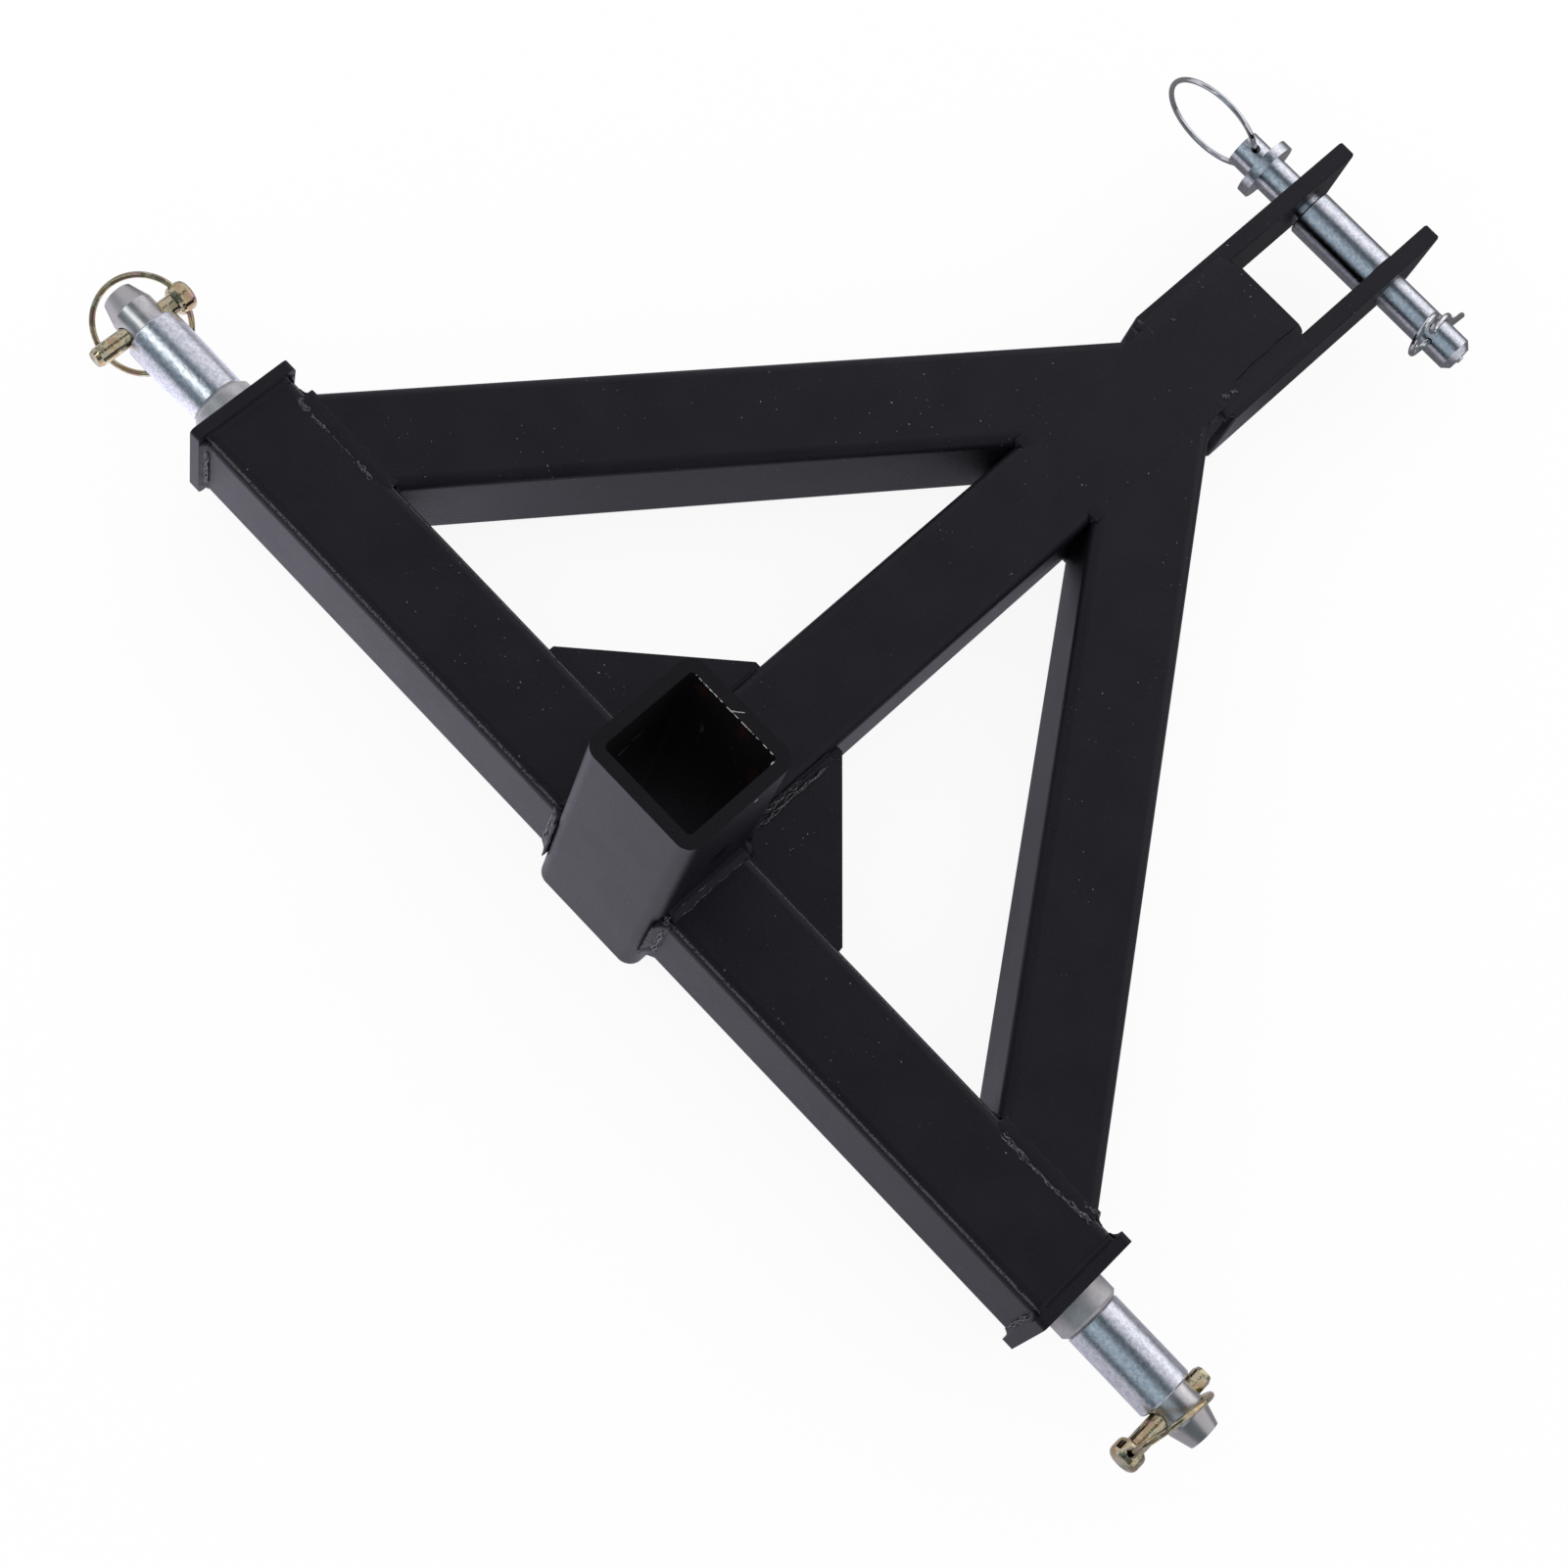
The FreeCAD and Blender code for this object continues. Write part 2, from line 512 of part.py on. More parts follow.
for curve, radius in ((1, "eye"), (2, "waist"), (3, "hug"), (4, "flare")):
    bind(path, "Radius", (curve,), "Sizes.clip_" + radius)
bind(path, "DistanceX", (-1, 1, 4, 3), "Sizes.clip_flare_out")
bind(path, "DistanceX", (-1, 1, 4, 2), "Sizes.clip_end")
wire = newSketch(clip, "XZ_Plane", "wire", away="-Sizes.clip_leg")
wireSection(wire, "Sizes.clip_wire")
doc.recompute()
pipe = clip.newObject("PartDesign::AdditivePipe", "hairpin_clip_pipe")
pipe.Profile = wire
pipe.Spine = (path, ["Edge1", "Edge2", "Edge3", "Edge4", "Edge5"])
clip.Tip = pipe
clip.Placement.Rotation = top_turn * clip_roll * FreeCAD.Rotation(turnY, -14)
place(clip, x="Sizes.clip_x", y="Sizes.top_axis")
doc.recompute()

for piece in doc.Objects:
    if "Invalid" in piece.State or "Error" in piece.State:
        raise RuntimeError(piece.Name + " does not build")
for piece in pieces:
    shape = piece.Shape
    if shape.isNull() or not shape.isValid() or len(shape.Solids) != 1:
        raise RuntimeError(piece.Label + " is not one valid solid")
    shape.exportStep(os.path.join("parts", piece.Label + ".step"))
    print(piece.Label, round(shape.Volume / 1000, 1), "cm3", len(shape.Faces), "faces")
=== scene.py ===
import json
import math
import random

import bpy
from mathutils import Matrix, Vector, noise


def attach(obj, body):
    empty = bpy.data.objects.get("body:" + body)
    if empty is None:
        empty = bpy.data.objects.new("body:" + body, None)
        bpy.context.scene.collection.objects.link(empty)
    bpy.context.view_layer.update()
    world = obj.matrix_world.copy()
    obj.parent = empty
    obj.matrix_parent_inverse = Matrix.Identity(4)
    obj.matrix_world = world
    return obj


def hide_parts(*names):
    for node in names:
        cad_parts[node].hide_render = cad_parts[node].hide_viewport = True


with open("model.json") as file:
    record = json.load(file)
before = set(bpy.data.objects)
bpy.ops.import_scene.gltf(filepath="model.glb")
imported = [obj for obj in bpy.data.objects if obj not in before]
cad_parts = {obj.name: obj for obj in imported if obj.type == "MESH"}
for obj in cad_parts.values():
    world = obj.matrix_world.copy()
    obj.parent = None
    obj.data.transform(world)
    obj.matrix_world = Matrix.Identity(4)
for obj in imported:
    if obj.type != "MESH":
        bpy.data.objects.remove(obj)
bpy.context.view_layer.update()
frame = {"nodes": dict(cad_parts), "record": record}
print("frame loaded")


# shader maths: a Socket takes part in plain expressions, a Shader adds any other node

class Socket:
    def __init__(self, finish, link):
        self.finish = finish
        self.link = link

    def maths(self, operation, first, second):
        return self.finish.node("Math", {"operation": operation}, {0: first, 1: second})["Value"]

    def __add__(self, other):
        return self.maths("ADD", self, other)

    def __radd__(self, other):
        return self.maths("ADD", other, self)

    def __sub__(self, other):
        return self.maths("SUBTRACT", self, other)

    def __rsub__(self, other):
        return self.maths("SUBTRACT", other, self)

    def __mul__(self, other):
        return self.maths("MULTIPLY", self, other)

    def __rmul__(self, other):
        return self.maths("MULTIPLY", other, self)


class Outputs:
    def __init__(self, finish, node):
        self.finish = finish
        self.node = node

    def __getitem__(self, name):
        return Socket(self.finish, self.node.outputs[name])


class Shader:
    def __init__(self, tree):
        self.tree = tree

    def node(self, kind, settings, sockets):
        made = self.tree.nodes.new("ShaderNode" + kind)
        for key, value in settings.items():
            if key == "stops":
                stops = made.color_ramp.elements
                while len(stops) < len(value):
                    stops.new(0.5)
                for stop, (at, colour) in zip(stops, value):
                    stop.position = at
                    stop.color = (*colour, 1)
            else:
                setattr(made, key, value)
        self.join(made, sockets)
        return Outputs(self, made)

    def join(self, made, sockets):
        for key, value in sockets.items():
            if isinstance(value, Socket):
                self.tree.links.new(value.link, made.inputs[key])
            else:
                made.inputs[key].default_value = value

    def mask(self, value, low, high, start=0.0, end=1.0):
        return self.node("MapRange", {"interpolation_type": "SMOOTHSTEP"},
                         {"Value": value, "From Min": low, "From Max": high, "To Min": start,
                          "To Max": end})["Result"]

    def absolute(self, value):
        return self.node("Math", {"operation": "ABSOLUTE"}, {0: value})["Value"]

    def blendColour(self, share, first, second):
        ends = [c if isinstance(c, Socket) else (*c, 1) for c in (first, second)]
        return self.node("Mix", {"data_type": "RGBA"}, {0: share, 6: ends[0], 7: ends[1]})[2]

    def scaled(self, colour, factor):
        return self.node("VectorMath", {"operation": "SCALE"}, {0: colour, "Scale": factor})["Vector"]

    def larger(self, first, second):
        return self.node("Math", {"operation": "MAXIMUM"}, {0: first, 1: second})["Value"]

    # 1 for what the camera sees, straight or in a mirror or glass, 0 for the light that falls on rough faces
    def seenRays(self):
        path = self.node("LightPath", {}, {})
        either = self.larger(path["Is Camera Ray"], path["Is Glossy Ray"])
        return self.larger(either, path["Is Transmission Ray"])


class Finish(Shader):
    def __init__(self, name):
        self.material = bpy.data.materials.new(name)
        self.material.use_nodes = True
        super().__init__(self.material.node_tree)
        self.shader = self.tree.nodes["Principled BSDF"]
        self.place = self.node("TexCoord", {}, {})["Object"]

    def noise(self, scale, detail, rough=0.5, stretch=(1, 1, 1)):
        at = self.place
        if stretch != (1, 1, 1):
            at = self.node("VectorMath", {"operation": "MULTIPLY"}, {0: at, 1: stretch})["Vector"]
        return self.node("TexNoise", {}, {"Vector": at, "Scale": scale, "Detail": detail,
                                          "Roughness": rough})["Fac"]

    def ramp(self, value, stops):
        return self.node("ValToRGB", {"stops": stops}, {"Fac": value})["Color"]

    def bump(self, height, depth, strength):
        return self.node("Bump", {}, {"Height": height, "Distance": depth,
                                      "Strength": strength})["Normal"]

    def principled(self, sockets):
        self.join(self.shader, sockets)
        return self.material


# finishes

coatLook = {"deep": (0.0086, 0.0080, 0.0124), "worn": (0.0132, 0.0124, 0.0175), "dust": (0.30, 0.30, 0.31),
            "edge": (0.105, 0.103, 0.115), "cut": (0.0048, 0.0043, 0.0066), "scratch": (0.42, 0.42, 0.43),
            "gloss": 0.36, "specular": 0.20, "edgeAt": (0.0238, 0.0243), "edgeWidth": (0.0005, 0.0014),
            "cutAt": 0.1270, "cutBlur": 0.0005, "scratchSlope": 0.886, "scratchAt": 0.0273,
            "scratchWander": 0.0009, "scratchWidth": (0.0002, 0.0004), "scratchReach": (0.0019, 0.0022)}


# satin coat: dust, a dotted pale line along the cross tubes' corners that is a painted highlight, a receiver
# rim coloured darker as painted shade, and one scratch on that rim
def blackCoat():
    coat = Finish("satinBlackCoat")
    cloud = coat.noise(38, 3)
    peel = coat.noise(420, 2)
    grain = coat.noise(1500, 2, 0.6)
    dust = coat.mask(coat.noise(700, 1), 0.765, 0.80) * coat.mask(coat.noise(24, 2), 0.46, 0.58)
    place = coat.node("SeparateXYZ", {}, {"Vector": coat.place})
    across = coat.absolute(coat.absolute(place["Y"]) - coatLook["edgeAt"][0])
    off = across + coat.absolute(place["Z"] - coatLook["edgeAt"][1])
    # painted highlight: a dotted pale line along the cross tubes' front corners
    paintedEdgeHighlight = coat.mask(off, *coatLook["edgeWidth"], 1.0, 0.0) * coat.mask(coat.noise(1100, 1), 0.36, 0.50)
    wear = coat.mask(cloud * 0.5 + grain * 0.5, 0.35, 0.65)
    shade = coat.blendColour(wear, coatLook["deep"], coatLook["worn"])
    shade = coat.blendColour(dust, shade, coatLook["dust"])
    shade = coat.blendColour(paintedEdgeHighlight, shade, coatLook["edge"])
    # painted shade: the receiver's rim face is coloured darker than the rest of the coat
    rim = coat.mask(place["Z"], coatLook["cutAt"], coatLook["cutAt"] + coatLook["cutBlur"])
    shade = coat.blendColour(rim, shade, coatLook["cut"])
    wander = (coat.noise(900, 1) - 0.5) * coatLook["scratchWander"]
    line = place["Y"] - place["X"] * coatLook["scratchSlope"] - coatLook["scratchAt"] + wander
    scratch = coat.mask(coat.absolute(line), *coatLook["scratchWidth"], 1.0, 0.0)
    scratch = scratch * coat.mask(coat.absolute(place["X"]), *coatLook["scratchReach"], 1.0, 0.0) * rim
    shade = coat.blendColour(scratch, shade, coatLook["scratch"])
    return coat.principled({"Base Color": shade,
                            "Roughness": coatLook["gloss"] + cloud * 0.08 + grain * 0.06,
                            "Specular IOR Level": coatLook["specular"],
                            "Normal": coat.bump(peel * 0.35 + grain * 0.65, 0.0003, 0.8)})


sheenLook = {"shades": [(0.42, (0.020, 0.019, 0.025)), (0.56, (0.085, 0.083, 0.092)),
                        (0.66, (0.24, 0.24, 0.25))], "rough": 0.3, "specular": 0.6}


# the welds' raised lines, coloured lighter grey as a painted sheen where they catch light; the bore's scuffs
# use this finish too
def weldSheen():
    sheen = Finish("weldSheenAndScuff")
    fine = sheen.noise(1300, 2)
    return sheen.principled({"Base Color": sheen.ramp(fine, sheenLook["shades"]),
                             "Roughness": sheenLook["rough"] + fine * 0.1,
                             "Specular IOR Level": sheenLook["specular"],
                             "Normal": sheen.bump(fine, 0.0002, 0.8)})


boreLook = {"dark": (0.0085, 0.0078, 0.0082), "rust": (0.030, 0.0095, 0.0080), "scuff": (0.09, 0.085, 0.08),
            "rough": 0.85, "specular": 0.05}


def boreBlack():
    bore = Finish("boreBlack")
    rust = bore.mask(bore.noise(70, 3), 0.56, 0.70)
    scuff = bore.mask(bore.noise(240, 2, 0.5, (1, 1, 0.2)), 0.66, 0.74)
    scuff = scuff * bore.mask(bore.noise(50, 1), 0.5, 0.65)
    shade = bore.blendColour(rust, boreLook["dark"], boreLook["rust"])
    return bore.principled({"Base Color": bore.blendColour(scuff, shade, boreLook["scuff"]),
                            "Roughness": boreLook["rough"], "Specular IOR Level": boreLook["specular"]})


chipLook = {"shades": [(0.40, (0.50, 0.50, 0.51)), (0.60, (1.0, 1.0, 1.0))], "rough": 0.55}


def bareChip():
    chip = Finish("bareChip")
    base = chip.ramp(chip.noise(2200, 1), chipLook["shades"])
    return chip.principled({"Base Color": base, "Roughness": chipLook["rough"]})


zincLook = {"shades": [(0.40, (0.52, 0.57, 0.62)), (0.60, (0.86, 0.86, 0.86))], "rough": 0.04}


def brightZinc():
    zinc = Finish("brightZinc")
    spangle = zinc.noise(520, 4, 0.65)
    fine = zinc.noise(2400, 2)
    patch = zinc.noise(90, 2)
    base = zinc.ramp(spangle * 0.6 + fine * 0.4, zincLook["shades"])
    rough = zincLook["rough"] + spangle * 0.07 + zinc.mask(patch, 0.45, 0.62) * 0.05
    return zinc.principled({"Base Color": base, "Metallic": 1.0, "Roughness": rough,
                            "Normal": zinc.bump(fine * 0.8 + spangle * 0.2, 0.00013, 0.8)})


pinLook = {"shades": [(0.34, (0.48, 0.48, 0.46)), (0.52, (0.62, 0.61, 0.59)), (0.7, (0.74, 0.74, 0.71))],
           "tipShade": (0.50, 0.49, 0.47), "collarEnd": 0.2848, "tip": 0.3450, "blur": 0.0002,
           "rough": 0.20, "collarRough": 0.26}


# the lower pins: a duller collar and a darker tip, told apart by their distance from the middle
def plainZinc():
    zinc = Finish("dullZinc")
    along = zinc.absolute(zinc.node("SeparateXYZ", {}, {"Vector": zinc.place})["X"])
    blur = pinLook["blur"]
    collar = zinc.mask(along, pinLook["collarEnd"] - blur, pinLook["collarEnd"] + blur, 1.0, 0.0)
    tip = zinc.mask(along, pinLook["tip"] - blur, pinLook["tip"] + blur)
    cloud = zinc.noise(160, 3)
    grit = zinc.noise(1500, 2)
    base = zinc.ramp(cloud * 0.6 + grit * 0.4, pinLook["shades"])
    base = zinc.blendColour(tip, base, pinLook["tipShade"])
    return zinc.principled({"Base Color": base, "Metallic": 1.0,
                            "Roughness": pinLook["rough"] + cloud * 0.16 + collar * pinLook["collarRough"],
                            "Normal": zinc.bump(grit, 0.00005, 0.6)})


chromateLook = {"olive": (0.27, 0.25, 0.14), "gold": (0.50, 0.38, 0.19), "pink": (0.44, 0.29, 0.25),
                "pale": (0.60, 0.55, 0.38), "rough": 0.05}


def yellowZinc():
    zinc = Finish("yellowChromate")
    drift = zinc.noise(110, 2)
    fine = zinc.noise(900, 2)
    base = zinc.ramp(drift * 0.8 + fine * 0.2, [(0.36, chromateLook["pink"]), (0.44, chromateLook["olive"]),
                                                (0.52, chromateLook["pale"]), (0.60, chromateLook["gold"]),
                                                (0.68, chromateLook["pink"])])
    return zinc.principled({"Base Color": base, "Metallic": 1.0,
                            "Roughness": chromateLook["rough"] + fine * 0.07,
                            "Normal": zinc.bump(fine, 0.0001, 0.4)})


springLook = {"shades": [(0.35, (0.62, 0.62, 0.62)), (0.65, (0.80, 0.80, 0.79))], "rough": 0.04}


def brightWire():
    wire = Finish("brightWire")
    fine = wire.noise(260, 2)
    return wire.principled({"Base Color": wire.ramp(fine, springLook["shades"]), "Metallic": 1.0,
                            "Roughness": springLook["rough"] + fine * 0.05})


finishes = {"coat": blackCoat(), "zinc": brightZinc(), "plain": plainZinc(), "chromate": yellowZinc(),
            "wire": brightWire(), "bore": boreBlack(), "sheen": weldSheen(), "chip": bareChip()}
slotFinish = {"black_coat": "coat", "bright_zinc": "zinc", "plain_zinc": "plain", "yellow_zinc": "chromate"}
for entry in frame["record"]["subparts"]:
    mesh = frame["nodes"][entry["node"]].data
    mesh.materials.clear()
    ofWire = entry["node"] in ("pull_ring", "hairpin_clip")
    mesh.materials.append(finishes["wire" if ofWire else slotFinish[entry["material_slot"]]])
print("finishes done")


# made pieces: a mesh of its own, riding a body

def makePiece(name, points, faces, finish, body, slot):
    mesh = bpy.data.meshes.new(name)
    mesh.from_pydata([tuple(p) for p in points], [], faces)
    mesh.update()
    mesh.shade_smooth()
    piece = bpy.data.objects.new(name, mesh)
    bpy.context.scene.collection.objects.link(piece)
    mesh.materials.append(finishes[finish])
    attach(piece, body)
    return piece


def tube(rings, closed):
    around = len(rings[0])
    points = [p for ring in rings for p in ring]
    faces = []
    steps = len(rings) if closed else len(rings) - 1
    for i in range(steps):
        j = (i + 1) % len(rings)
        for k in range(around):
            m = (k + 1) % around
            faces.append((i * around + k, i * around + m, j * around + m, j * around + k))
    if not closed:
        for i, flip in ((0, True), (len(rings) - 1, False)):
            cap = [i * around + k for k in range(around)]
            faces.append(tuple(reversed(cap)) if flip else tuple(cap))
    return points, faces


# round wire loops, through the bores that carry them; each takes its CAD ring's place
wireLook = {"around": 20, "along": 140}


def wireLoop(name, node, hinge, boreAxis, outward, look, finish, body, slot):
    boreAxis = boreAxis.normalized()
    outward = outward.normalized()
    side = boreAxis.cross(outward)
    radius, wire = look["radius"], look["wire"]
    bow = look["bore"] ** 2 / (16 * radius)
    centre = hinge + outward * (radius - bow)
    rings = []
    for i in range(wireLook["along"]):
        turn = 2 * math.pi * i / wireLook["along"]
        away = outward * math.cos(turn) + boreAxis * math.sin(turn)
        middle = centre + away * radius
        rings.append([middle + (away * math.cos(a) + side * math.sin(a)) * wire / 2
                      for a in (2 * math.pi * k / wireLook["around"] for k in range(wireLook["around"]))])
    points, faces = tube(rings, True)
    piece = makePiece(name, points, faces, finish, body, slot)
    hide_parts(node)


def turned(vector, axis, degrees):
    return Matrix.Rotation(math.radians(degrees), 3, Vector(axis)) @ Vector(vector)


linchLook = {"radius": 0.0232, "wire": 0.00298, "bore": 0.0148, "leftBore": 25, "leftHang": 33.5,
             "rightHang": -9.6}
leftBore = turned((1, 0, 0), (0, 1, 0), linchLook["leftBore"])
wireLoop("linchpinRingLeft", "linchpin_ring_left", Vector((-0.3369, 0.0218, 0)), leftBore,
         turned((0, -1, 0), leftBore, linchLook["leftHang"]), linchLook,
         "chromate", "linchpin_ring_left", "yellow_zinc")
wireLoop("linchpinRingRight", "linchpin_ring_right", Vector((0.3369, -0.0314, 0)), Vector((0, 0, 1)),
         turned((0, 1, 0), (0, 0, 1), linchLook["rightHang"]), linchLook,
         "chromate", "linchpin_ring_right", "yellow_zinc")
pullLook = {"radius": 0.0277, "wire": 0.0028, "bore": 0.01905, "roll": 11.3, "hang": 3.2}
pullOut = turned((-1, 0, 0), (0, 0, 1), pullLook["hang"])
wireLoop("pullRing", "pull_ring", Vector((-0.063, 0.495, 0)), turned((0, 0, 1), (1, 0, 0), pullLook["roll"]),
         turned(pullOut, (1, 0, 0), pullLook["roll"]), pullLook, "wire", "pull_ring", "bright_zinc")
print("rings done")


# welds: a closed section swept along the joint, lumpy as laid down or ground nearly flush. A section
# is (side, height) in millimetres, side along "across" and height along "up"; what lies under "skin"
# is buried and stays smooth. Lumps and waves are in turns of noise per metre.
weldLook = {"step": 0.0007, "seed": 41, "lumps": 190, "waves": 95, "fine": 2.7, "skin": -0.55, "sink": 0.4}
weldDice = random.Random(weldLook["seed"])
flush = [(-6.6, -0.35), (-5.6, 0.0), (-4.2, 0.09), (-2.6, 0.13), (-1.0, 0.12), (0.6, 0.07), (1.7, -0.02),
         (2.6, -0.4), (1.0, -4.0), (-3.0, -5.0)]
fillet = [(-0.6, 4.6), (0.05, 4.3), (0.7, 3.1), (1.5, 1.9), (2.8, 0.9), (4.2, 0.12), (4.7, -0.6),
          (-0.6, -0.6)]
slope = [(-6.2, -0.5), (-5.2, 0.04), (-3.4, 0.06), (-1.4, -0.20), (0.8, -0.80), (3.4, -1.75), (5.6, -2.65),
         (7.2, -3.40), (7.0, -6.0), (-3.0, -6.0)]


def weld(name, start, end, across, up, section, size, lump, wave, ends=(0.0022, 0.0022)):
    start, end, across, up = (Vector(v) for v in (start, end, across, up))
    run = end - start
    length = run.length
    ahead = run.normalized()
    far = Vector((weldDice.uniform(0, 40), weldDice.uniform(0, 40), 0))
    count = max(6, int(length / weldLook["step"]))
    rings = []
    for i in range(count + 1):
        s = length * i / count
        inside = min((s + 1e-6) / (ends[0] + 1e-6), (length - s + 1e-6) / (ends[1] + 1e-6))
        ease = min(1, math.sqrt(max(0.02, inside)))
        ring = []
        for k, (side, height) in enumerate(section):
            spot = far + Vector((s * weldLook["lumps"], k * 0.45, 0))
            shift = noise.noise(Vector((s * weldLook["waves"], 7.3, 0)) + far) * wave
            rough = noise.noise(spot) * lump + noise.noise(spot * weldLook["fine"]) * lump * 0.5
            top = height > weldLook["skin"]
            high = height * size + (rough if top else 0)
            low = min(0, height * size)
            ring.append(start + ahead * s + across * (side * size + shift) * 0.001
                        + up * (low - weldLook["sink"] * (1 - ease) + (high - low) * ease) * 0.001)
        rings.append(ring)
    points, faces = tube(rings, False)
    makePiece(name, points, faces, "coat", "frame", "black_coat")


# thin raised lines and lumps that stand on a weld
lineLook = {"step": 0.0005, "around": 8, "waves": 5, "sink": 0.0001, "footSpread": 0.0006,
            "joinSpread": 0.0007}


def squiggle(name, start, end, up, radius, sway, waves, finish="sheen"):
    start, end, up = Vector(start), Vector(end), Vector(up)
    run = end - start
    ahead = run.normalized()
    side = ahead.cross(up)
    far = Vector((weldDice.uniform(0, 40), 0, 0))
    count = max(10, int(run.length / lineLook["step"]))
    rings = []
    for i in range(count + 1):
        t = i / count
        drift = noise.noise(Vector((t * waves, 0, 0)) + far) * sway
        lift = up * noise.noise(Vector((t * waves * 1.7, 9, 0)) + far) * radius * 0.5
        middle = start + run * t + side * drift + lift
        thick = radius * (0.75 + 0.6 * noise.noise(Vector((t * waves * 2.2, 3, 0)) + far))
        thick *= min(1, math.sqrt(max(0.02, min(t, 1 - t) * 12)))
        rings.append([middle + (side * math.cos(a) + up * math.sin(a)) * thick
                      for a in (2 * math.pi * k / lineLook["around"] for k in range(lineLook["around"]))])
    points, faces = tube(rings, False)
    makePiece(name, points, faces, finish, "frame", "black_coat")


def strands(name, start, end, up, radius, sway, waves, number, spread):
    side = (Vector(end) - Vector(start)).normalized().cross(Vector(up))
    for i in range(number):
        shift = side * spread * (i - (number - 1) / 2)
        cut = (Vector(end) - Vector(start)) * weldDice.uniform(0, 0.12)
        squiggle(f"{name}{i + 1}", Vector(start) + shift + cut, Vector(end) + shift - cut, up,
                 radius * weldDice.uniform(0.7, 1.1), sway, waves)


# a small uneven lump: a weld plug, a bare speck, a chip
blobLook = {"around": 8, "tall": 5, "bulge": 0.3, "lumps": 900}


def blob(name, at, size, finish="coat", slot="black_coat"):
    points, faces = [], []
    rounds, tall = blobLook["around"], blobLook["tall"]
    for j in range(1, tall):
        lift = math.pi * j / tall
        for k in range(rounds):
            a = 2 * math.pi * k / rounds
            way = Vector((math.sin(lift) * math.cos(a), math.sin(lift) * math.sin(a), math.cos(lift)))
            bulge = 1 + blobLook["bulge"] * noise.noise(way * 2 + Vector(at) * blobLook["lumps"])
            reach = Vector((way.x * size[0], way.y * size[1], way.z * size[2]))
            points.append(Vector(at) + reach * bulge)
    points += [Vector(at) + Vector((0, 0, size[2])), Vector(at) - Vector((0, 0, size[2]))]
    top, bottom = len(points) - 2, len(points) - 1
    for j in range(tall - 2):
        for k in range(rounds):
            m = (k + 1) % rounds
            faces.append((j * rounds + k, (j + 1) * rounds + k, (j + 1) * rounds + m, j * rounds + m))
    for k in range(rounds):
        m = (k + 1) % rounds
        faces.append((top, k, m))
        faces.append((bottom, (tall - 2) * rounds + m, (tall - 2) * rounds + k))
    makePiece(name, points, faces, finish, "frame", slot)


# where the joints lie, from the middle of the part. After its section, a weld has its scale, its lumps
# and waves in millimetres, and where it isn't the usual one its taper at each end.
face = 0.0254
receiverFace = 0.03175
capFace = 0.2666
footOut, footIn = 0.2556, 0.1948
earLow = 0.3633
gussetFace = 0.0194
for name, s in (("Left", -1), ("Right", 1)):
    out = Vector((s, 0, 0))
    for side, z in (("Front", 1), ("Back", -1)):
        up = Vector((0, 0, z))
        weld(f"weldFoot{side}{name}", (s * 0.2550, face, z * face), (s * 0.1962, face, z * face), (0, 1, 0),
             up, flush, 1.0, 0.10, 0.45, (0.003, 0.004))
        weld(f"weldBrace{side}{name}", (s * face, 0.2665, z * face), (s * face, 0.3634, z * face), out, up,
             flush, 1.0, 0.03, 0.2, (0.006, 0.002))
        weld(f"weldEar{side}{name}", (s * face, 0.3590, z * face), (s * face, 0.4228, z * face), out, up,
             slope, 1.0, 0.03, 0.1, (0.002, 0.0001))
        weld(f"weldReceiver{side}{name}", (s * receiverFace, -0.0225, z * face),
             (s * receiverFace, 0.0250, z * face), out, up, fillet, 1.15, 0.32, 0.6)
        weld(f"weldCap{side}{name}", (s * capFace, -0.0235, z * face), (s * capFace, 0.0235, z * face), -out,
             up, fillet, 0.62, 0.06, 0.1)
    for side, y in (("High", 1), ("Low", -1)):
        up = Vector((0, y, 0))
        weld(f"weldCap{side}{name}", (s * capFace, y * face, -0.0235), (s * capFace, y * face, 0.0235), -out,
             up, fillet, 0.66, 0.16, 0.3)
    weld(f"weldReceiverLow{name}", (s * receiverFace, -face, -0.0230), (s * receiverFace, -face, 0.0262),
         out, (0, -1, 0), fillet, 1.2, 0.5, 0.9)
    weld(f"weldFootInner{name}", (s * footIn, face, -0.0225), (s * footIn, face, 0.0228), -out, (0, 1, 0),
         fillet, 0.85, 0.14, 0.3, (0.003, 0.004))
    weld(f"weldFootOuter{name}", (s * footOut, face, -0.0225), (s * footOut, face, 0.0226), out, (0, 1, 0),
         fillet, 0.90, 0.12, 0.3, (0.003, 0.004))
    weld(f"weldEarLow{name}", (s * face, earLow, -0.0225), (s * face, earLow, 0.0240), (0, -1, 0), out,
         fillet, 1.2, 0.4, 0.5)
    weld(f"weldGussetMast{name}", (s * face, 0.0335, gussetFace), (s * face, 0.0885, gussetFace), out,
         (0, 0, 1), fillet, 0.85, 0.34, 0.5)
    weld(f"weldGussetTube{name}", (s * 0.0335, face, gussetFace), (s * 0.0885, face, gussetFace), (0, 1, 0),
         (0, 0, 1), fillet, 0.30, 0.05, 0.1)
    blob(f"plugLow{name}", (s * 0.0325, 0.0268, 0.0205), (0.0046, 0.0046, 0.0048))
    blob(f"plugHigh{name}", (s * 0.0268, 0.0325, 0.0205), (0.0046, 0.0046, 0.0048))
weld("weldMastFoot", (-0.0225, receiverFace, face), (0.0225, receiverFace, face), (0, 1, 0), (0, 0, 1),
     fillet, 0.95, 0.3, 0.5)

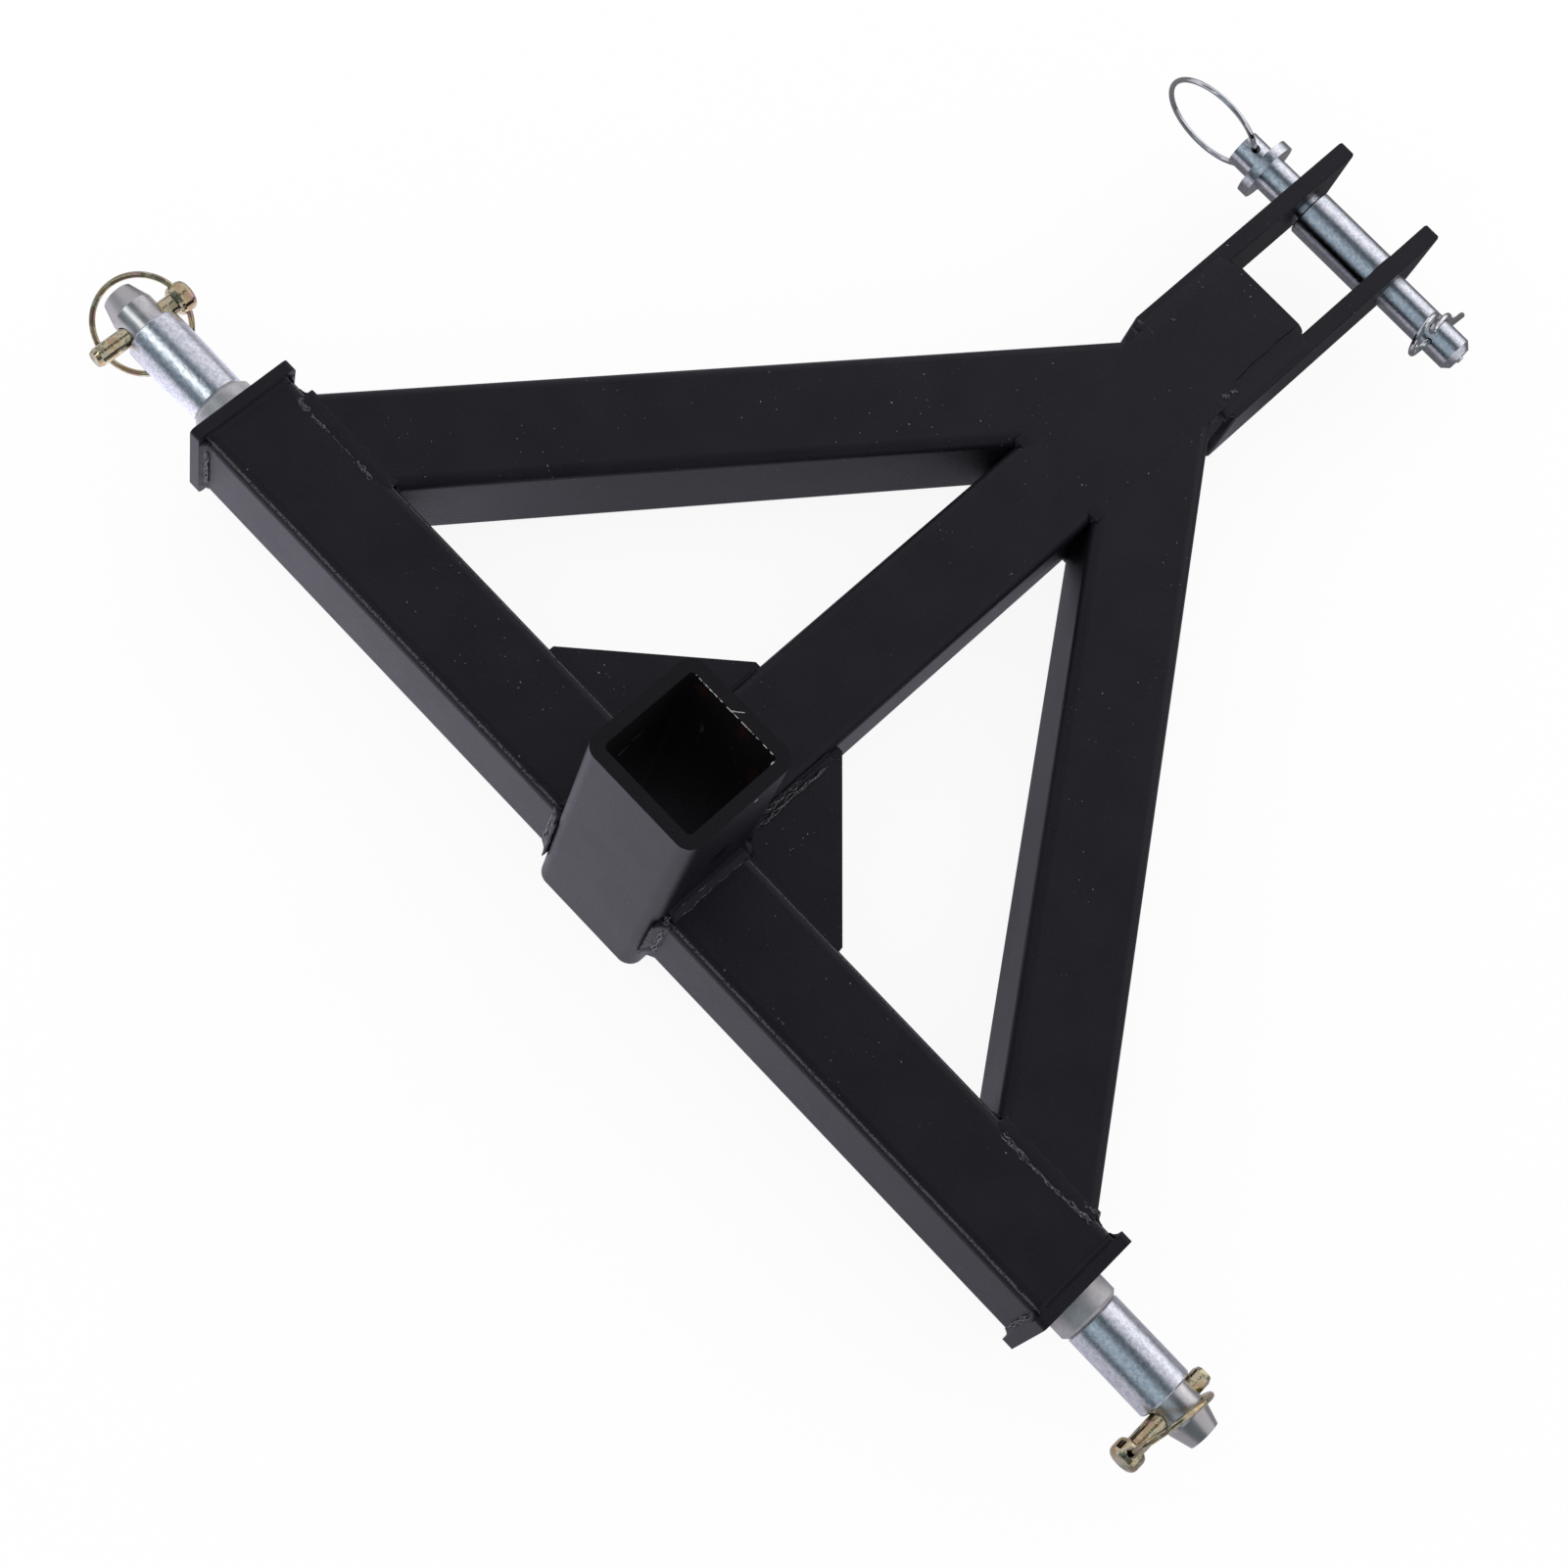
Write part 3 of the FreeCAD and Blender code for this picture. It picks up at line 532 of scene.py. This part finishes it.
# raised lines: start, end, radius, sway and how many side by side
feet = [((-0.2565, 0.0203), (-0.2470, 0.0190), 0.0006, 0.0016, 4),
        ((-0.2470, 0.0191), (-0.2330, 0.0194), 0.0004, 0.0009, 2),
        ((-0.2330, 0.0195), (-0.2160, 0.0195), 0.00030, 0.0006, 1),
        ((-0.2160, 0.0196), (-0.2040, 0.0186), 0.0006, 0.0020, 3),
        ((0.2000, 0.0199), (0.2180, 0.0194), 0.00045, 0.0012, 4),
        ((0.2160, 0.0194), (0.2390, 0.0195), 0.0006, 0.0009, 2),
        ((0.2370, 0.0197), (0.2560, 0.0212), 0.0007, 0.0026, 3),
        ((0.2450, 0.0244), (0.2570, 0.0266), 0.0005, 0.0012, 2)]
for i, (a, b, radius, sway, number) in enumerate(feet):
    strands(f"footLine{i + 1}n", (*a, face - lineLook["sink"]), (*b, face - lineLook["sink"]), (0, 0, 1),
            radius, sway, lineLook["waves"], number, lineLook["footSpread"])
joins = [((0.0222, 0.3640, 0.0252), (0.0252, 0.3672, 0.0252), 0.0009, 0.0014, 2),
         ((0.0236, 0.3690, 0.0250), (0.0252, 0.3735, 0.0246), 0.0008, 0.0012, 2),
         ((-0.0222, 0.3745, 0.0253), (-0.0210, 0.3768, 0.0253), 0.0007, 0.0010, 2),
         ((-0.0330, 0.3640, 0.0222), (-0.0300, 0.3625, 0.0228), 0.0008, 0.0012, 2),
         ((0.0350, 0.3665, 0.0210), (0.0310, 0.3615, 0.0215), 0.0008, 0.0014, 2),
         ((0.0322, -0.0225, 0.0262), (0.0350, -0.0262, 0.0262), 0.0008, 0.0014, 3),
         ((0.0325, 0.0210, 0.0272), (0.0328, -0.0200, 0.0275), 0.0004, 0.0012, 2),
         ((0.0365, 0.0220, 0.0255), (0.0362, -0.0205, 0.0256), 0.0004, 0.0012, 1),
         ((0.0290, 0.0360, 0.0203), (0.0290, 0.0860, 0.0203), 0.0005, 0.0022, 2),
         ((0.0262, 0.0400, 0.0222), (0.0262, 0.0700, 0.0222), 0.0004, 0.0018, 2)]
for i, (a, b, radius, sway, number) in enumerate(joins):
    strands(f"joinLine{i + 1}n", a, b, (0, 0, 1), radius, sway, lineLook["waves"], number,
            lineLook["joinSpread"])
for s in (-1, 1):
    side = "Right" if s > 0 else "Left"
    strands(f"lowLine{side}", (s * 0.0345, -0.0268, -0.0150), (s * 0.0340, -0.0268, 0.0240), (0, -1, 0),
            0.0007, 0.0014, 6, 4, 0.0010)
    strands(f"capLine{side}", (s * 0.2642, -0.0262, -0.0190), (s * 0.2642, -0.0262, 0.0200), (0, -1, 0),
            0.0004, 0.0012, 6, 3, 0.0008)
squiggle("apexCrack", (0.0209, 0.4232, 0.02545), (0.0206, 0.3740, 0.02545), (0, 0, 1), 0.00030, 0.0022, 3,
         "bore")
print("welds done")


# the receiver bore's lining, bare specks along its worn rim, chips and scuffs
rimLook = {"front": 0.12775, "inner": 0.02555, "corner": 0.0025, "lining": (-0.0417, 0.06), "gap": 0.0001,
           "short": 0.0004, "specks": 74, "seed": 7, "start": -0.0235, "run": 0.047, "turn": 0.004,
           "inset": 0.00004, "stray": (-0.00008, 0.00004), "speck": (0.00018, 0.00036)}


def roundedSquare(half, corner, z):
    points = []
    for k in range(4):
        for j in range(5):
            a = math.pi / 2 * (k + j / 4)
            x = (half - corner) * (1 if k in (0, 3) else -1) + corner * math.cos(a)
            y = (half - corner) * (1 if k in (0, 1) else -1) + corner * math.sin(a)
            points.append(Vector((x, y, z)))
    return points


inner = rimLook["inner"] - rimLook["gap"]
rings = [roundedSquare(inner, rimLook["corner"], z)
         for z in (*rimLook["lining"], rimLook["front"] - rimLook["short"])]
around = len(rings[0])
sides = [(i * around + (k + 1) % around, i * around + k,
          (i + 1) * around + k, (i + 1) * around + (k + 1) % around)
         for i in range(len(rings) - 1) for k in range(around)]
makePiece("receiverBore", [p for ring in rings for p in ring], sides, "bore", "frame", "black_coat")
rimDice = random.Random(rimLook["seed"])
for i in range(rimLook["specks"]):
    t = rimDice.random() ** 0.8
    if i % 6 == 5:  # the worn line turns the corner
        x = rimLook["inner"] - rimLook["inset"]
        y = rimLook["inner"] - rimDice.uniform(0, rimLook["turn"])
    else:
        x = rimLook["start"] + rimLook["run"] * t
        y = rimLook["inner"] - rimLook["inset"] + rimDice.uniform(*rimLook["stray"])
    r = rimDice.uniform(*rimLook["speck"])
    size = (r * rimDice.uniform(1, 2.4), r * 0.8, r * 0.8)
    blob(f"rimSpeck{i + 1}", (x, y, rimLook["front"] - r * 1.05), size, "chip", "bright_zinc")
chips = [((0.03177, 0.0084, 0.1216), (0.0001, 0.0012, 0.0004)),
         ((-0.0290, -0.0285, 0.1273), (0.0004, 0.0004, 0.00035))]
scuffs = [((-0.02545, -0.0060, 0.0880), (0.0001, 0.0036, 0.0016)),
          ((-0.02545, 0.0015, 0.0925), (0.0001, 0.0045, 0.0010))]
for kind, finish, marks in (("chip", "chip", chips), ("scuff", "sheen", scuffs)):
    for i, (at, size) in enumerate(marks):
        blob(f"{kind}{i + 1}", at, size, finish, "bright_zinc")
print("receiver done")


# the small turned stub on the top pin's end
stubLook = {"radius": 0.0020, "length": 0.0014, "around": 16, "sink": 0.0002, "height": 0.495,
            "profile": ((0, 1.25), (0.3, 1.0), (0.8, 1.0), (1.0, 0.75))}
pinNode = frame["nodes"]["top_pin"]
pinEnd = max((pinNode.matrix_world @ v.co).x for v in pinNode.data.vertices)
rings = [[Vector((pinEnd - stubLook["sink"] + stubLook["length"] * along,
                  stubLook["height"] + stubLook["radius"] * wide * math.cos(a),
                  stubLook["radius"] * wide * math.sin(a)))
          for a in (2 * math.pi * k / stubLook["around"] for k in range(stubLook["around"]))]
         for along, wide in stubLook["profile"]]
makePiece("pinStub", *tube(rings, False), "zinc", "top_pin", "bright_zinc")
print("pin stub done")


# floor, light and camera

floorLook = {"height": -0.0422, "half": 6, "shade": (0.92, 0.92, 0.92, 1), "rough": 0.9, "seenShare": 0.86,
             "seenGlow": 1.06, "glint": (0.88, 0.855, 1.0),
             # along an axis, from where to where the mirrored glow goes from one level to another: a painted
             # pool of light to the left, painted shade to the right, under the part and beyond the ears
             "levels": [("X", -0.30, 0.42, 1.62, 0.58), ("X", -0.37, -0.30, 0.62, 1.0),
                        ("Y", -0.01, 0.12, 1.0, 0.56), ("Y", 0.38, 0.44, 1.0, 0.2)],
             "far": (0.5, 2.0, 1.0, 0.75)}
mesh = bpy.data.meshes.new("floor")
half = floorLook["half"]
corners = [(-half, -half, 0), (half, -half, 0), (half, half, 0), (-half, half, 0)]
mesh.from_pydata(corners, [], [(0, 1, 2, 3)])
floor = bpy.data.objects.new("floor", mesh)
floor.location.z = floorLook["height"]
bpy.context.scene.collection.objects.link(floor)

# what is seen of the floor is mostly its own glow; other rays get back only the light that falls on it
pale = Finish("paleFloor")
pale.principled({"Base Color": floorLook["shade"], "Roughness": floorLook["rough"],
                 "Specular IOR Level": 0.0})
mirrored = pale.node("LightPath", {}, {})["Is Glossy Ray"]
spot = pale.node("SeparateXYZ", {}, {"Vector": pale.place})
# painted shade in the floor's mirrored glow: it dims with distance and by the levels below
mirrorGlow = pale.mask(spot["X"] * spot["X"] + spot["Y"] * spot["Y"], *floorLook["far"])
for axis, low, high, start, end in floorLook["levels"]:
    mirrorGlow = mirrorGlow * pale.mask(spot[axis], low, high, start, end)
glowTint = pale.blendColour(mirrored, (1, 1, 1), floorLook["glint"])
glowLevel = mirrored * mirrorGlow + (1 - mirrored) * floorLook["seenGlow"]
glow = pale.node("Emission", {}, {"Color": pale.scaled(glowTint, glowLevel), "Strength": 1.0})
lit = Socket(pale, pale.shader.outputs[0])
share = pale.seenRays() * floorLook["seenShare"]
mixed = pale.node("MixShader", {}, {0: share, 1: lit, 2: glow["Emission"]})
pale.tree.links.new(mixed.node.outputs[0], pale.tree.nodes["Material Output"].inputs["Surface"])
mesh.materials.append(pale.material)

# what metal mirrors: pale walls up to a tilted line, then a dim ceiling with a lighter middle
roomLook = {"soft": 0.60, "walls": (0.02, 0.14, 0.70, 0.82), "tilt": (0.743, 0.669, 0.1),
            "lid": (0.45, 0.52), "ceilingRight": (0.0, 0.08, 0.12, 0.18),
            "ceilingLeft": (-0.31, -0.22, 0.16, 0.0), "ceilingMiddle": (0.84, 0.94, 0.0, 0.40),
            "wallTint": (0.92, 0.90, 1.0), "ceilingTint": (0.72, 0.86, 1.0)}
world = bpy.data.worlds.new("studio")
world.use_nodes = True
bpy.context.scene.world = world
sky = Shader(world.node_tree)
way = sky.node("SeparateXYZ", {}, {"Vector": sky.node("TexCoord", {}, {})["Generated"]})
tall, deep, wide = roomLook["tilt"]
tilt = way["Z"] * tall - way["Y"] * deep - sky.absolute(way["X"]) * wide
lid = sky.mask(tilt, *roomLook["lid"])
under = sky.mask(way["X"], *roomLook["ceilingRight"])
under = under + sky.mask(way["X"], *roomLook["ceilingLeft"])
under = under + sky.mask(tilt, *roomLook["ceilingMiddle"])
walls = sky.mask(way["Z"], *roomLook["walls"])
seen = sky.seenRays()
mirrored = sky.node("LightPath", {}, {})["Is Glossy Ray"]
tint = sky.blendColour(lid, roomLook["wallTint"], roomLook["ceilingTint"])
room = (1 - lid) * walls + lid * under
level = (room * mirrored + (1 - mirrored)) * seen + (1 - seen) * roomLook["soft"]
sky.join(world.node_tree.nodes["Background"],
         {"Color": sky.scaled(sky.blendColour(mirrored, (1, 1, 1), tint), level), "Strength": 1.0})

lamps = [
    {"name": "backBox", "at": (0.2, 1.9, 1.0), "size": (2.6, 1.2), "watts": 4, "aim": (0, 0.15, 0)},
    {"name": "keyBox", "at": (-0.64, -0.46, 0.765), "size": (0.20, 0.42), "watts": 0.55,
     "aim": (-0.31, 0, 0)},
]
for lamp in lamps:
    light = bpy.data.lights.new(lamp["name"], "AREA")
    light.shape = "RECTANGLE"
    light.size, light.size_y = lamp["size"]
    light.energy = lamp["watts"]
    holder = bpy.data.objects.new(lamp["name"], light)
    holder.location = lamp["at"]
    holder.rotation_euler = (Vector(lamp["aim"]) - holder.location).to_track_quat("-Z", "Y").to_euler()
    bpy.context.scene.collection.objects.link(holder)

cameraLook = {"at": (0.16590, -0.41091, 1.22627), "lens": 66.70, "sensor": 36,
              "right": (0.68997, 0.69806, 0.19144), "up": (-0.71538, 0.61731, 0.32735),
              "back": (0.11033, -0.36281, 0.92531)}
camera = bpy.data.objects.new("camera", bpy.data.cameras.new("camera"))
camera.data.lens = cameraLook["lens"]
camera.data.sensor_width = cameraLook["sensor"]
rows = Matrix((cameraLook["right"], cameraLook["up"], cameraLook["back"])).transposed()
camera.matrix_world = Matrix.Translation(cameraLook["at"]) @ rows.to_4x4()
bpy.context.scene.collection.objects.link(camera)
bpy.context.scene.camera = camera
bpy.context.scene.view_settings.view_transform = "Standard"
print("stage done")
